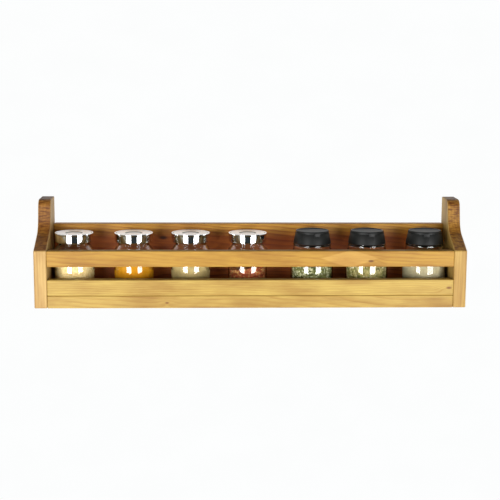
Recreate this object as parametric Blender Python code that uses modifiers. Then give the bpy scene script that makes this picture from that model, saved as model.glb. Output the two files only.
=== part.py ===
"""Wall spice rack: a shallow pine trough between two eared side boards, holding seven loose glass jars.

Units are metres. X runs along the rack, the front faces -Y, and Z is up. The origin is at the middle of
the underside, so the rack rests on Z = 0.
"""
import math

import bmesh
import bpy
from mathutils import Matrix, Vector

# Fits
FIT_GAP = 0.0003            # between pieces that touch
EDGE_ROUND = 0.0008         # broken edge of every board

# Overall sizes of the rack
LENGTH = 0.600              # over both side boards
FRONT_HEIGHT = 0.080        # front of the side boards, level with the upper rail
EAR_HEIGHT = 0.0645         # how far the hanging ears rise above the front
BACK_HEIGHT = 0.1063        # top edge of the back board

# Boards
SIDE_THICKNESS = 0.0175
SHELF_THICKNESS = 0.0172
RAIL_HEIGHT = 0.022
RAIL_THICKNESS = 0.015
BACK_THICKNESS = 0.015

# Outline of an ear, from the front corner up: a ramp, a hollow, a lean and a rounded nose
RAMP_LENGTH = 0.042
RAMP_DEGREES = 25.0
HOLLOW_RADIUS = 0.026
LEAN_DEGREES = 78.0
NOSE_RADIUS = 0.012
ARC_STEPS = 8               # straight steps in each round stretch of the outline

# Countersunk wood screws through the side boards
SCREW_LENGTH = 0.040
SCREW_RADIUS = 0.0018
SCREW_HEAD_RADIUS = 0.0038
SCREW_HEAD_DEPTH = 0.0026
SCREW_SUNK = 0.0003         # head below the face
SHELF_SCREW_INSET = 0.020   # from the shelf's front and rear edges
BACK_SCREW_LOW = 0.036      # lower back screw above the underside
BACK_SCREW_INSET = 0.018    # upper back screw below the board's top edge
SCREW_SIDES = 8

# Keyhole hanger plates, let into the rear edge of each ear
PLATE_WIDTH = 0.0125
PLATE_LENGTH = 0.042
PLATE_THICKNESS = 0.0016
PLATE_BELOW_TOP = 0.0075    # from the top of the ear to the plate
KEYHOLE_RADIUS = 0.0042
KEYHOLE_SLOT_WIDTH = 0.0044
KEYHOLE_SLOT_RISE = 0.0085  # from the middle of the round hole to the middle of the slot's end
POCKET_DEPTH = 0.008        # room behind the plate for a wall screw's head
PLATE_SCREW_INSET = 0.0055  # from the plate's ends
PLATE_SCREW_LENGTH = 0.012
PLATE_SCREW_RADIUS = 0.0013
PLATE_SCREW_HEAD_RADIUS = 0.0027
PLATE_SCREW_HEAD_DEPTH = 0.0012

# Jars: heights are measured from each jar's own base
TURN_STEPS = 20             # flat faces round each turned piece
GLASS_WALL = 0.0022
GLASS_FLOOR = 0.0040
JAR_PLAY = 0.0046           # from the widest jar to the rail and to the back board

CHROME_JAR_RADIUS = 0.0282
CHROME_JAR_FOOT_RADIUS = 0.0275
CHROME_SHOULDER_LOW = 0.0572
CHROME_SHOULDER_HIGH = 0.0655
CHROME_NECK_RADIUS = 0.0212
CHROME_HEEL = 0.0090

LID_RADIUS = 0.0270
LID_FOOT_ROUND = 0.0026     # rounded lower edge of the lid
LID_RIM_ROUND = 0.0012      # rounded upper edge of the lid
LID_HEIGHT = 0.0134
LID_ABOVE_SHOULDER = 0.0026
LID_RING_WIDTH = 0.0020     # raised rim round the lid's top
LID_TOP_SUNK = 0.0005       # top of the lid below its rim
LID_DISC_RADIUS = 0.0115    # pressed disc in the middle of the top
LID_DISC_SUNK = 0.0012      # disc below the rim
LID_TOP_PLATE = 0.0013
THREAD_PLAY = 0.0005        # between the smooth neck and the smooth bore of its lid
SEAL_THICKNESS = 0.0010

FLIP_JAR_RADIUS = 0.0304
FLIP_JAR_WIDE_HEIGHT = 0.0300
FLIP_SHOULDER_RADIUS = 0.0268
FLIP_SHOULDER_HEIGHT = 0.0663
FLIP_NECK_RADIUS = 0.0205
FLIP_HEEL = 0.0070

CAP_FOOT_RADIUS = 0.0269
CAP_TOP_RADIUS = 0.0231
CAP_HEIGHT = 0.0183
CAP_DECK = 0.0020           # thickness of the plate with the shaker holes
FLIP_LID_HEIGHT = 0.0035
FLIP_LID_WALL = 0.0017
FLIP_LID_PLATE = 0.0012
FLIP_LID_RECESS = 0.0008
FLIP_LID_RIM_WIDTH = 0.0015
HINGE_CHORD = 0.0160        # from the cap's axis back to the hinge line
TAB_WIDTH = 0.0080
TAB_THICKNESS = 0.0029
TAB_DROP = 0.0035           # how far the thumb tab hangs below the flip lid
SHAKER_HOLE_RADIUS = 0.0015
SHAKER_RING_RADIUS = 0.0075
SHAKER_HOLES = 6

# Each jar from left to right: its lid, the top of its spice above its base, and its cap's turn in degrees
JARS = (
    ("chrome", 0.0430, 0.0),
    ("chrome", 0.0405, 0.0),
    ("chrome", 0.0400, 0.0),
    ("chrome", 0.0330, 0.0),
    ("flip", 0.0350, 11.0),
    ("flip", 0.0370, 8.0),
    ("flip", 0.0440, -4.0),
)
# Spare length along the shelf, shared in these parts between the gaps from the left board to the right one
GAP_SHARES = (4.9, 27.6, 24.1, 24.5, 33.4, 17.5, 22.0, 3.0)

# Worked out from the sizes above
TROUGH_WIDTH = 2 * (FLIP_JAR_RADIUS + JAR_PLAY)
DEPTH = RAIL_THICKNESS + TROUGH_WIDTH + BACK_THICKNESS
FRONT_Y = -RAIL_THICKNESS - TROUGH_WIDTH / 2
REAR_Y = FRONT_Y + DEPTH
SIDE_HEIGHT = FRONT_HEIGHT + EAR_HEIGHT
SIDE_X = (LENGTH - SIDE_THICKNESS) / 2
INNER_HALF = LENGTH / 2 - SIDE_THICKNESS
BOARD_LENGTH = 2 * (INNER_HALF - FIT_GAP)
SHELF_TOP = SHELF_THICKNESS + FIT_GAP
JAR_BASE = SHELF_TOP
PLATE_TOP = SIDE_HEIGHT - PLATE_BELOW_TOP
PLATE_MIDDLE = PLATE_TOP - PLATE_LENGTH / 2
PLATE_Y = REAR_Y - PLATE_THICKNESS / 2
KEYHOLE_Z = PLATE_MIDDLE - KEYHOLE_SLOT_RISE / 2

# Chrome lid on its jar, from the lid's foot up to its ceiling, the seal under it and the glass rim
LID_FOOT = CHROME_SHOULDER_HIGH + LID_ABOVE_SHOULDER
LID_TOP = LID_FOOT + LID_HEIGHT
LID_CEILING = LID_TOP - LID_DISC_SUNK - LID_TOP_PLATE
SEAL_TOP = LID_CEILING - FIT_GAP
CHROME_RIM_HEIGHT = SEAL_TOP - SEAL_THICKNESS - FIT_GAP

# Flip cap on its jar, from its foot up to the flip lid, and the glass rim under its deck
CAP_FOOT = FLIP_SHOULDER_HEIGHT + FIT_GAP
CAP_TOP = CAP_FOOT + CAP_HEIGHT
FLIP_LID_FOOT = CAP_TOP - FLIP_LID_HEIGHT
DECK_TOP = FLIP_LID_FOOT - FIT_GAP
CAP_CEILING = DECK_TOP - CAP_DECK
FLIP_RIM_HEIGHT = CAP_CEILING - FIT_GAP
CAP_TAPER = (CAP_FOOT_RADIUS - CAP_TOP_RADIUS) / CAP_HEIGHT


def clear_scene():
    for old in list(bpy.data.objects):
        bpy.data.objects.remove(old, do_unlink=True)


def make_collection(name):
    collection = bpy.data.collections.new(name)
    bpy.context.scene.collection.children.link(collection)
    return collection


def make_material(name, colour, roughness, metallic=0.0, transmission=0.0):
    material = bpy.data.materials.new(name)
    material.use_nodes = True
    shader = material.node_tree.nodes["Principled BSDF"]
    shader.inputs["Base Color"].default_value = (*colour, 1.0)
    shader.inputs["Roughness"].default_value = roughness
    shader.inputs["Metallic"].default_value = metallic
    shader.inputs["Transmission Weight"].default_value = transmission
    material.diffuse_color = (*colour, 1.0)
    return material


clear_scene()
RACK = make_collection("spice_rack")
CUTTERS = make_collection("cutters")
WOOD = make_material("stained_pine", (0.60, 0.34, 0.10), 0.5)
STEEL = make_material("zinc_steel", (0.62, 0.60, 0.55), 0.35, metallic=1.0)
GLASS = make_material("clear_glass", (0.93, 0.96, 0.95), 0.05, transmission=1.0)
CHROME = make_material("chrome_plate", (0.86, 0.87, 0.88), 0.06, metallic=1.0)
FOAM = make_material("seal_foam", (0.85, 0.85, 0.82), 0.8)
BLACK = make_material("black_plastic", (0.02, 0.022, 0.021), 0.35)
SPICES = (
    make_material("garlic_granules", (0.80, 0.62, 0.28), 0.9),
    make_material("turmeric_powder", (0.56, 0.26, 0.01), 0.9),
    make_material("ginger_powder", (0.48, 0.42, 0.24), 0.9),
    make_material("chilli_flakes", (0.40, 0.07, 0.02), 0.8),
    make_material("dried_basil", (0.16, 0.20, 0.06), 0.9),
    make_material("dried_oregano", (0.30, 0.30, 0.12), 0.9),
    make_material("white_pepper", (0.50, 0.45, 0.33), 0.9),
)


def mesh_object(name, shape, material=None, parent=None, place=(0.0, 0.0, 0.0), collection=None):
    """Turn a bmesh into a named object; place is in the parent's space."""
    mesh = bpy.data.meshes.new(name)
    shape.to_mesh(mesh)
    shape.free()
    piece = bpy.data.objects.new(name, mesh)
    if material:
        mesh.materials.append(material)
    (collection or RACK).objects.link(piece)
    piece.parent = parent
    piece.location = place
    return piece


def as_cutter(piece):
    piece.hide_render = True
    piece.display_type = 'WIRE'
    return piece


def box_shape(size, centre=(0.0, 0.0, 0.0)):
    shape = bmesh.new()
    spot = Matrix.Translation(centre) @ Matrix.Diagonal((*size, 1.0))
    bmesh.ops.create_cube(shape, size=1.0, matrix=spot)
    return shape


def cylinder_shape(radius, height, sides, matrix=Matrix()):
    shape = bmesh.new()
    bmesh.ops.create_cone(shape, cap_ends=True, segments=sides, radius1=radius, radius2=radius,
                          depth=height, matrix=matrix)
    return shape


def outline_shape(outline, thickness):
    """A flat outline in the YZ plane, drawn from its points and made thickness wide along X."""
    shape = bmesh.new()
    corners = [shape.verts.new((-thickness / 2, y, z)) for y, z in outline]
    face = shape.faces.new(corners)
    swept = bmesh.ops.extrude_face_region(shape, geom=[face])
    moved = [item for item in swept["geom"] if isinstance(item, bmesh.types.BMVert)]
    bmesh.ops.translate(shape, verts=moved, vec=(thickness, 0.0, 0.0))
    bmesh.ops.recalc_face_normals(shape, faces=shape.faces)
    return shape


def cut(piece, cutter, operation='DIFFERENCE'):
    modifier = piece.modifiers.new(cutter.name, 'BOOLEAN')
    modifier.operation = operation
    modifier.object = cutter
    modifier.solver = 'EXACT'


def break_edges(piece):
    modifier = piece.modifiers.new("broken_edges", 'BEVEL')
    modifier.width = EDGE_ROUND
    modifier.segments = 1
    modifier.limit_method = 'ANGLE'


def board(name, size, centre):
    piece = mesh_object(name, box_shape(size), WOOD, place=centre)
    break_edges(piece)
    return piece


def turned(name, profile, material, parent, steps=TURN_STEPS, collection=None):
    """Spin a profile of (radius, height) points about the parent's Z axis; outer sides run downwards."""
    shape = bmesh.new()
    points = [shape.verts.new((radius, 0.0, height)) for radius, height in profile]
    for first, second in zip(points, points[1:]):
        shape.edges.new((first, second))
    piece = mesh_object(name, shape, material, parent, collection=collection)
    spin = piece.modifiers.new("spin", 'SCREW')
    spin.axis = 'Z'
    spin.angle = math.tau
    spin.steps = steps
    spin.render_steps = steps
    spin.use_merge_vertices = True
    spin.merge_threshold = 0.00001
    return piece


def arc(centre, radii, start_degrees, end_degrees, steps):
    """Points of an ellipse's arc, both ends included."""
    points = []
    for step in range(steps + 1):
        angle = math.radians(start_degrees + (end_degrees - start_degrees) * step / steps)
        points.append((centre[0] + radii[0] * math.cos(angle), centre[1] + radii[1] * math.sin(angle)))
    return points


# Side boards

def ear_outline():
    """Front edge, ramp, hollow, lean and nose of a side board, then its flat top and rear edge."""
    ramp = math.radians(RAMP_DEGREES)
    lean = math.radians(LEAN_DEGREES)
    ramp_end = Vector((FRONT_Y + RAMP_LENGTH * math.cos(ramp), FRONT_HEIGHT + RAMP_LENGTH * math.sin(ramp)))
    hollow_middle = ramp_end + HOLLOW_RADIUS * Vector((-math.sin(ramp), math.cos(ramp)))
    hollow = arc(hollow_middle, (HOLLOW_RADIUS, HOLLOW_RADIUS), RAMP_DEGREES - 90, LEAN_DEGREES - 90,
                 ARC_STEPS)
    nose_z = SIDE_HEIGHT - NOSE_RADIUS
    nose_start = nose_z + NOSE_RADIUS * math.cos(lean)
    lean_run = (nose_start - hollow[-1][1]) / math.tan(lean)
    nose_y = hollow[-1][0] + lean_run + NOSE_RADIUS * math.sin(lean)
    nose = arc((nose_y, nose_z), (NOSE_RADIUS, NOSE_RADIUS), LEAN_DEGREES + 90, 90, ARC_STEPS)
    corner = [(REAR_Y, 0.0), (FRONT_Y, 0.0), (FRONT_Y, FRONT_HEIGHT)]
    return corner + hollow + nose + [(REAR_Y, SIDE_HEIGHT)]


def side_board(name, x):
    piece = mesh_object(name, outline_shape(ear_outline(), SIDE_THICKNESS), WOOD, place=(x, 0.0, 0.0))
    break_edges(piece)
    return piece


left_side = side_board("left_side_board", -SIDE_X)
right_side = side_board("right_side_board", SIDE_X)

# Boards between the sides

shelf_depth = DEPTH - BACK_THICKNESS - FIT_GAP
shelf = board("shelf_board", (BOARD_LENGTH, shelf_depth, SHELF_THICKNESS),
              (0.0, FRONT_Y + shelf_depth / 2, SHELF_THICKNESS / 2))
back = board("back_board", (BOARD_LENGTH, BACK_THICKNESS, BACK_HEIGHT),
             (0.0, REAR_Y - BACK_THICKNESS / 2, BACK_HEIGHT / 2))

RAIL_Y = FRONT_Y + RAIL_THICKNESS / 2
LOWER_RAIL_Z = SHELF_TOP + RAIL_HEIGHT / 2
UPPER_RAIL_Z = FRONT_HEIGHT - RAIL_HEIGHT / 2
RAIL_SIZE = (BOARD_LENGTH, RAIL_THICKNESS, RAIL_HEIGHT)
lower_rail = board("lower_front_rail", RAIL_SIZE, (0.0, RAIL_Y, LOWER_RAIL_Z))
upper_rail = board("upper_front_rail", RAIL_SIZE, (0.0, RAIL_Y, UPPER_RAIL_Z))

# Screws through the sides, and the holes they sit in


def screw_profile(length, radius, head_radius, head_depth, play=0.0, above=0.0):
    """Countersunk head, shank and point, drawn down from the head; play and above make it a cutter."""
    profile = [(0.0, above)]
    if above:
        profile.append((head_radius + play, above))
    profile.append((head_radius + play, 0.0))
    profile.append((radius + play, -head_depth - play))
    profile.append((radius + play, -length + 2 * radius))
    profile.append((0.0, -length - play))
    return profile


def spun_shape(profile, sides, matrix):
    """The turned solid of a profile as a bmesh, moved by matrix."""
    shape = bmesh.new()
    points = [shape.verts.new((radius, 0.0, height)) for radius, height in profile]
    edges = [shape.edges.new(pair) for pair in zip(points, points[1:])]
    bmesh.ops.spin(shape, geom=points + edges, cent=(0, 0, 0), axis=(0, 0, 1), angle=math.tau,
                   steps=sides, use_duplicate=False)
    bmesh.ops.remove_doubles(shape, verts=shape.verts, dist=0.00001)
    bmesh.ops.recalc_face_normals(shape, faces=shape.faces)
    shape.transform(matrix)
    return shape


def side_screw_spots():
    """(y, z) of each screw, and the board that it holds."""
    return (
        (FRONT_Y + SHELF_SCREW_INSET, SHELF_THICKNESS / 2, shelf),
        (REAR_Y - BACK_THICKNESS - SHELF_SCREW_INSET, SHELF_THICKNESS / 2, shelf),
        (RAIL_Y, LOWER_RAIL_Z, lower_rail),
        (RAIL_Y, UPPER_RAIL_Z, upper_rail),
        (REAR_Y - BACK_THICKNESS / 2, BACK_SCREW_LOW, back),
        (REAR_Y - BACK_THICKNESS / 2, BACK_HEIGHT - BACK_SCREW_INSET, back),
    )


SIDE_SCREW = (SCREW_LENGTH, SCREW_RADIUS, SCREW_HEAD_RADIUS, SCREW_HEAD_DEPTH)
for side_name, side, sign in (("left", left_side, -1), ("right", right_side, 1)):
    heads_out = Matrix.Rotation(math.radians(90 * sign), 4, 'Y')
    for number, (y, z, held) in enumerate(side_screw_spots(), start=1):
        spot = Matrix.Translation((sign * (LENGTH / 2 - SCREW_SUNK), y, z)) @ heads_out
        screw = spun_shape(screw_profile(*SIDE_SCREW), SCREW_SIDES, spot)
        mesh_object(f"{side_name}_side_screw_{number}", screw, STEEL)
        hole = spun_shape(screw_profile(*SIDE_SCREW, play=FIT_GAP, above=2 * SCREW_SUNK), SCREW_SIDES, spot)
        cutter = as_cutter(mesh_object(f"{side_name}_screw_hole_{number}", hole, collection=CUTTERS))
        cut(side, cutter)
        cut(held, cutter)

# Keyhole hanger plates on the ears' rear edges, their pockets and screws

PLATE_SCREW = (PLATE_SCREW_LENGTH, PLATE_SCREW_RADIUS, PLATE_SCREW_HEAD_RADIUS, PLATE_SCREW_HEAD_DEPTH)
face_back = Matrix.Rotation(math.radians(-90), 4, 'X')
for side_name, side, x in (("left", left_side, -SIDE_X), ("right", right_side, SIDE_X)):
    plate = mesh_object(f"{side_name}_hanger_plate",
                        box_shape((PLATE_WIDTH, PLATE_THICKNESS, PLATE_LENGTH)), STEEL,
                        place=(x, PLATE_Y, PLATE_MIDDLE))
    recess_size = (PLATE_WIDTH + 2 * FIT_GAP, 2 * (PLATE_THICKNESS + FIT_GAP), PLATE_LENGTH + 2 * FIT_GAP)
    recess = as_cutter(mesh_object(f"{side_name}_plate_recess", box_shape(recess_size),
                                   place=(x, REAR_Y, PLATE_MIDDLE), collection=CUTTERS))
    pocket_size = (2 * KEYHOLE_RADIUS, 2 * POCKET_DEPTH, KEYHOLE_SLOT_RISE + 2 * KEYHOLE_RADIUS)
    pocket = as_cutter(mesh_object(f"{side_name}_head_pocket", box_shape(pocket_size),
                                   place=(x, REAR_Y, PLATE_MIDDLE), collection=CUTTERS))
    round_hole = cylinder_shape(KEYHOLE_RADIUS, 4 * PLATE_THICKNESS, 12, face_back)
    round_cutter = as_cutter(mesh_object(f"{side_name}_keyhole_round", round_hole,
                                         place=(x, PLATE_Y, KEYHOLE_Z), collection=CUTTERS))
    slot_size = (KEYHOLE_SLOT_WIDTH, 4 * PLATE_THICKNESS, KEYHOLE_SLOT_RISE + KEYHOLE_SLOT_WIDTH / 2)
    slot_cutter = as_cutter(mesh_object(f"{side_name}_keyhole_slot", box_shape(slot_size),
                                        place=(x, PLATE_Y, KEYHOLE_Z + slot_size[2] / 2), collection=CUTTERS))
    cut(side, recess)
    cut(side, pocket)
    cut(plate, round_cutter)
    cut(plate, slot_cutter)
    for number, reach in enumerate((-1, 1), start=1):
        z = PLATE_MIDDLE + reach * (PLATE_LENGTH / 2 - PLATE_SCREW_INSET)
        spot = Matrix.Translation((x, REAR_Y - FIT_GAP, z)) @ face_back
        screw = spun_shape(screw_profile(*PLATE_SCREW), SCREW_SIDES, spot)
        mesh_object(f"{side_name}_hanger_screw_{number}", screw, STEEL)
        hole = spun_shape(screw_profile(*PLATE_SCREW, play=FIT_GAP, above=2 * FIT_GAP), SCREW_SIDES, spot)
        cutter = as_cutter(mesh_object(f"{side_name}_plate_screw_hole_{number}", hole, collection=CUTTERS))
        cut(side, cutter)
        cut(plate, cutter)

# Jars


def jar_radius(kind):
    return CHROME_JAR_RADIUS if kind == "chrome" else FLIP_JAR_RADIUS


def jar_places():
    """X of each jar's axis: the jars stand in a row and share the spare length out in GAP_SHARES."""
    spare = 2 * INNER_HALF - sum(2 * jar_radius(kind) for kind, _, _ in JARS)
    unit = spare / sum(GAP_SHARES)
    places = []
    x = -INNER_HALF
    for share, (kind, _, _) in zip(GAP_SHARES, JARS):
        x += share * unit + jar_radius(kind)
        places.append(x)
        x += jar_radius(kind)
    return places


def heel(radius, heel_radius):
    """Rounded edge between a jar's wall and its base."""
    return arc((radius - heel_radius, heel_radius), (heel_radius, heel_radius), 0, -90, 3)


# A jar's outside, downwards: the rim of its mouth, its shoulder, then its wall and heel
CHROME_JAR = (
    (CHROME_NECK_RADIUS, CHROME_RIM_HEIGHT),
    [(CHROME_NECK_RADIUS, CHROME_SHOULDER_HIGH), (CHROME_JAR_RADIUS, CHROME_SHOULDER_LOW)],
    heel(CHROME_JAR_FOOT_RADIUS, CHROME_HEEL),
)
FLIP_JAR = (
    (FLIP_NECK_RADIUS, FLIP_RIM_HEIGHT),
    [(FLIP_NECK_RADIUS, FLIP_SHOULDER_HEIGHT), (FLIP_SHOULDER_RADIUS, FLIP_SHOULDER_HEIGHT)],
    [(FLIP_JAR_RADIUS, FLIP_JAR_WIDE_HEIGHT)] + heel(FLIP_JAR_RADIUS, FLIP_HEEL),
)


def inner_wall(jar, wall, floor):
    """The inside of a jar, from the middle of its floor up to its mouth."""
    rim, shoulder, wall_and_heel = jar
    inner = [(0.0, floor), (wall_and_heel[-1][0], floor)]
    inner += [(radius - wall, height) for radius, height in reversed(wall_and_heel) if height > floor]
    inner += [(radius - wall, height - wall) for radius, height in reversed(shoulder)]
    return inner + [(rim[0] - wall, rim[1])]


def glass_profile(jar):
    """Inner wall upwards, then the outside downwards, closed at the axis."""
    rim, shoulder, wall_and_heel = jar
    return inner_wall(jar, GLASS_WALL, GLASS_FLOOR) + [rim] + shoulder + wall_and_heel + [(0.0, 0.0)]


def radius_at(profile, height):
    """Radius where a rising profile reaches a height."""
    for (low_radius, low), (high_radius, high) in zip(profile, profile[1:]):
        if low < high and low <= height <= high:
            return low_radius + (high_radius - low_radius) * (height - low) / (high - low)
    return profile[-1][0]


def fill_profile(jar, top):
    """The spice inside a jar, clear of its glass, drawn from the top down."""
    room = inner_wall(jar, GLASS_WALL + FIT_GAP, GLASS_FLOOR + FIT_GAP)
    below = [point for point in room if point[1] < top]
    return [(0.0, top), (radius_at(room, top), top)] + below[::-1]


def chrome_lid_profile():
    """A straight lid with a sunk top, from the middle of the top round to the middle of its ceiling."""
    bore = CHROME_NECK_RADIUS + THREAD_PLAY
    top_level = LID_TOP - LID_TOP_SUNK
    disc_level = LID_TOP - LID_DISC_SUNK
    rim_inside = LID_RADIUS - LID_RING_WIDTH
    rim = arc((LID_RADIUS - LID_RIM_ROUND, LID_TOP - LID_RIM_ROUND), (LID_RIM_ROUND, LID_RIM_ROUND), 90, 0, 2)
    foot = arc((LID_RADIUS - LID_FOOT_ROUND, LID_FOOT + LID_FOOT_ROUND), (LID_FOOT_ROUND, LID_FOOT_ROUND),
               0, -90, 3)
    return [(0.0, disc_level), (LID_DISC_RADIUS, disc_level), (LID_DISC_RADIUS + LID_TOP_SUNK, top_level),
            (rim_inside, top_level), (rim_inside, LID_TOP)] + rim + foot + [
        (bore, LID_FOOT), (bore, LID_CEILING), (0.0, LID_CEILING)]


def seal_profile():
    underside = SEAL_TOP - SEAL_THICKNESS
    return [(0.0, SEAL_TOP), (CHROME_NECK_RADIUS, SEAL_TOP), (CHROME_NECK_RADIUS, underside),
            (0.0, underside)]


def cap_radius(height):
    """Outer radius of the tapered cap and its flip lid at a height."""
    return CAP_TOP_RADIUS + CAP_TAPER * (CAP_TOP - height)


def cap_profile():
    """Cap with its deck, still solid up to the level of the flip lid's top."""
    bore = FLIP_NECK_RADIUS + THREAD_PLAY
    return [(0.0, CAP_TOP), (CAP_TOP_RADIUS, CAP_TOP), (cap_radius(DECK_TOP), DECK_TOP),
            (CAP_FOOT_RADIUS, CAP_FOOT), (bore, CAP_FOOT), (bore, CAP_CEILING), (0.0, CAP_CEILING)]


def flip_lid_profile():
    """Shallow lid with a rim round its sunk top, level with the cap's sides."""
    foot_radius = cap_radius(FLIP_LID_FOOT)
    sunk = CAP_TOP - FLIP_LID_RECESS
    ceiling = sunk - FLIP_LID_PLATE
    rim_inside = CAP_TOP_RADIUS - FLIP_LID_RIM_WIDTH
    return [(0.0, sunk), (rim_inside, sunk), (rim_inside, CAP_TOP), (CAP_TOP_RADIUS, CAP_TOP),
            (foot_radius, FLIP_LID_FOOT), (foot_radius - FLIP_LID_WALL, FLIP_LID_FOOT),
            (foot_radius - FLIP_LID_WALL, ceiling), (0.0, ceiling)]


def add_chrome_lid(name, axis):
    turned(f"{name}_lid_seal", seal_profile(), FOAM, axis)
    turned(f"{name}_chrome_lid", chrome_lid_profile(), CHROME, axis)


def add_axis(name, place, parent=None, turn=0.0):
    """An empty that stands on a joint's axis and carries the pieces that move about it."""
    axis = bpy.data.objects.new(name, None)
    RACK.objects.link(axis)
    axis.parent = parent
    axis.location = place
    axis.rotation_euler = (0.0, 0.0, math.radians(turn))
    return axis


def add_flip_cap(name, jar_axis, turn):
    """Cap with a fixed rear part, and a flip lid hinged on it along a chord of the cap."""
    axis = add_axis(f"{name}_cap_axis", (0.0, 0.0, 0.0), jar_axis, turn)
    reach = 2 * CAP_FOOT_RADIUS
    tab_back = -cap_radius(FLIP_LID_FOOT) + FLIP_LID_WALL
    tab_low = FLIP_LID_FOOT - TAB_DROP
    cap = turned(f"{name}_cap", cap_profile(), BLACK, axis)
    lid_room = box_shape((reach, reach, reach), (0.0, HINGE_CHORD - reach / 2, DECK_TOP + reach / 2))
    tab_room = box_shape((TAB_WIDTH + 2 * FIT_GAP, reach, reach),
                         (0.0, tab_back + FIT_GAP - reach / 2, tab_low - FIT_GAP + reach / 2))
    for label, shape in (("lid_room", lid_room), ("tab_room", tab_room)):
        cut(cap, as_cutter(mesh_object(f"{name}_{label}", shape, parent=axis, collection=CUTTERS)))
    for number in range(SHAKER_HOLES):
        angle = math.tau * number / SHAKER_HOLES
        spot = (SHAKER_RING_RADIUS * math.cos(angle), SHAKER_RING_RADIUS * math.sin(angle), DECK_TOP)
        hole = cylinder_shape(SHAKER_HOLE_RADIUS, 4 * CAP_DECK, 6)
        cut(cap, as_cutter(mesh_object(f"{name}_shaker_hole_{number + 1}", hole, parent=axis, place=spot,
                                       collection=CUTTERS)))

    lid = turned(f"{name}_flip_lid", flip_lid_profile(), BLACK, axis)
    rear = box_shape((reach, reach, reach), (0.0, HINGE_CHORD - FIT_GAP + reach / 2, CAP_TOP))
    tab = box_shape((TAB_WIDTH, TAB_THICKNESS, TAB_DROP + FLIP_LID_HEIGHT / 2),
                    (0.0, tab_back - TAB_THICKNESS / 2, tab_low + (TAB_DROP + FLIP_LID_HEIGHT / 2) / 2))
    cut(lid, as_cutter(mesh_object(f"{name}_behind_hinge", rear, parent=axis, collection=CUTTERS)))
    cut(lid, as_cutter(mesh_object(f"{name}_thumb_tab", tab, parent=axis, collection=CUTTERS)), 'UNION')
    hinge = add_axis(f"{name}_flip_hinge", (0.0, HINGE_CHORD - FIT_GAP / 2, CAP_TOP), axis)
    lid.parent = hinge
    lid.matrix_parent_inverse = Matrix.Translation(hinge.location).inverted()


for number, (x, (kind, fill_top, turn)) in enumerate(zip(jar_places(), JARS), start=1):
    name = f"jar_{number}"
    axis = add_axis(f"{name}_axis", (x, 0.0, JAR_BASE))
    jar = CHROME_JAR if kind == "chrome" else FLIP_JAR
    turned(f"{name}_glass", glass_profile(jar), GLASS, axis)
    turned(f"{name}_spice", fill_profile(jar, fill_top), SPICES[number - 1], axis)
    if kind == "chrome":
        add_chrome_lid(name, axis)
    else:
        add_flip_cap(name, axis, turn)

for piece in RACK.objects:
    if piece.type == 'MESH':
        piece.data.shade_smooth()
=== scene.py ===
"""Looks of a wall-hung spice rack: oiled pine boards, screws, and glass jars with their lids and spices.

Lengths are in metres unless a name ends in _MM. Every finished mesh stands at the origin with its place in
its points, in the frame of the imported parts: X along the rack, -Y to the front and Z up from the underside.
"""
import math

import bmesh
import bpy
from mathutils import Matrix, Vector, noise


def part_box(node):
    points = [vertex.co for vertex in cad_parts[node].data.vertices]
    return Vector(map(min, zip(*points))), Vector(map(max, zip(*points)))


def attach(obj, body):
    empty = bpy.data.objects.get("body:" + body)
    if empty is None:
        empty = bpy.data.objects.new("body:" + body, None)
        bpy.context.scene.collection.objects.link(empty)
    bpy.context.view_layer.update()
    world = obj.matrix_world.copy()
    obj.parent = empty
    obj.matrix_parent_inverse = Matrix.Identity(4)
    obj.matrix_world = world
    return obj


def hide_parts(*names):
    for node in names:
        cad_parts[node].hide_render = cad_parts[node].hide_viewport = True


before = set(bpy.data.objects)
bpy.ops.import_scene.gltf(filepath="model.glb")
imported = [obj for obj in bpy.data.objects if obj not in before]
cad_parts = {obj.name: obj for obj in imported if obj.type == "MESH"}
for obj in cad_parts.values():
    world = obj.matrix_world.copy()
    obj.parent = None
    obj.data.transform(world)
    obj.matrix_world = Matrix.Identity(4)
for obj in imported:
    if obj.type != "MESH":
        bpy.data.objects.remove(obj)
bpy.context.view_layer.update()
MM = 0.001

# Studio
# The rack hangs clear of everything in front of a seamless sweep of white paper, lit from behind so that it
# stays even. Two low softboxes stand in front, left and right, and the air above is a dim pale dome. Dim
# cards round the softboxes are what the polished lids and the glass mirror between their white blocks.


def hex_colour(code):
    """Linear RGBA from an sRGB hex value."""
    channels = []
    for start in (1, 3, 5):
        value = int(code[start:start + 2], 16) / 255
        channels.append(value / 12.92 if value <= 0.04045 else ((value + 0.055) / 1.055) ** 2.4)
    return (*channels, 1.0)


def add_node(tree, kind, inputs=None, **settings):
    """Add a node. Settings are its properties; inputs are values, or the sockets that feed it."""
    node = tree.nodes.new(kind)
    for name, value in settings.items():
        setattr(node, name, value)
    for name, value in (inputs or {}).items():
        if isinstance(value, bpy.types.NodeSocket):
            tree.links.new(value, node.inputs[name])
        else:
            node.inputs[name].default_value = value
    return node


def new_material(name):
    """An empty material and its output node."""
    material = bpy.data.materials.new(name)
    material.use_nodes = True
    material.node_tree.nodes.clear()
    return material, add_node(material.node_tree, "ShaderNodeOutputMaterial")


SHARP_ANGLE = math.radians(35)


def mesh_piece(name, shape, material):
    """Turn a bmesh into an object at the origin, smooth except where its faces meet sharply."""
    mesh = bpy.data.meshes.new(name)
    shape.to_mesh(mesh)
    shape.free()
    mesh.materials.append(material)
    mesh.shade_smooth()
    mesh.set_sharp_from_angle(angle=SHARP_ANGLE)
    piece = bpy.data.objects.new(name, mesh)
    bpy.context.scene.collection.objects.link(piece)
    return piece


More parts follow.
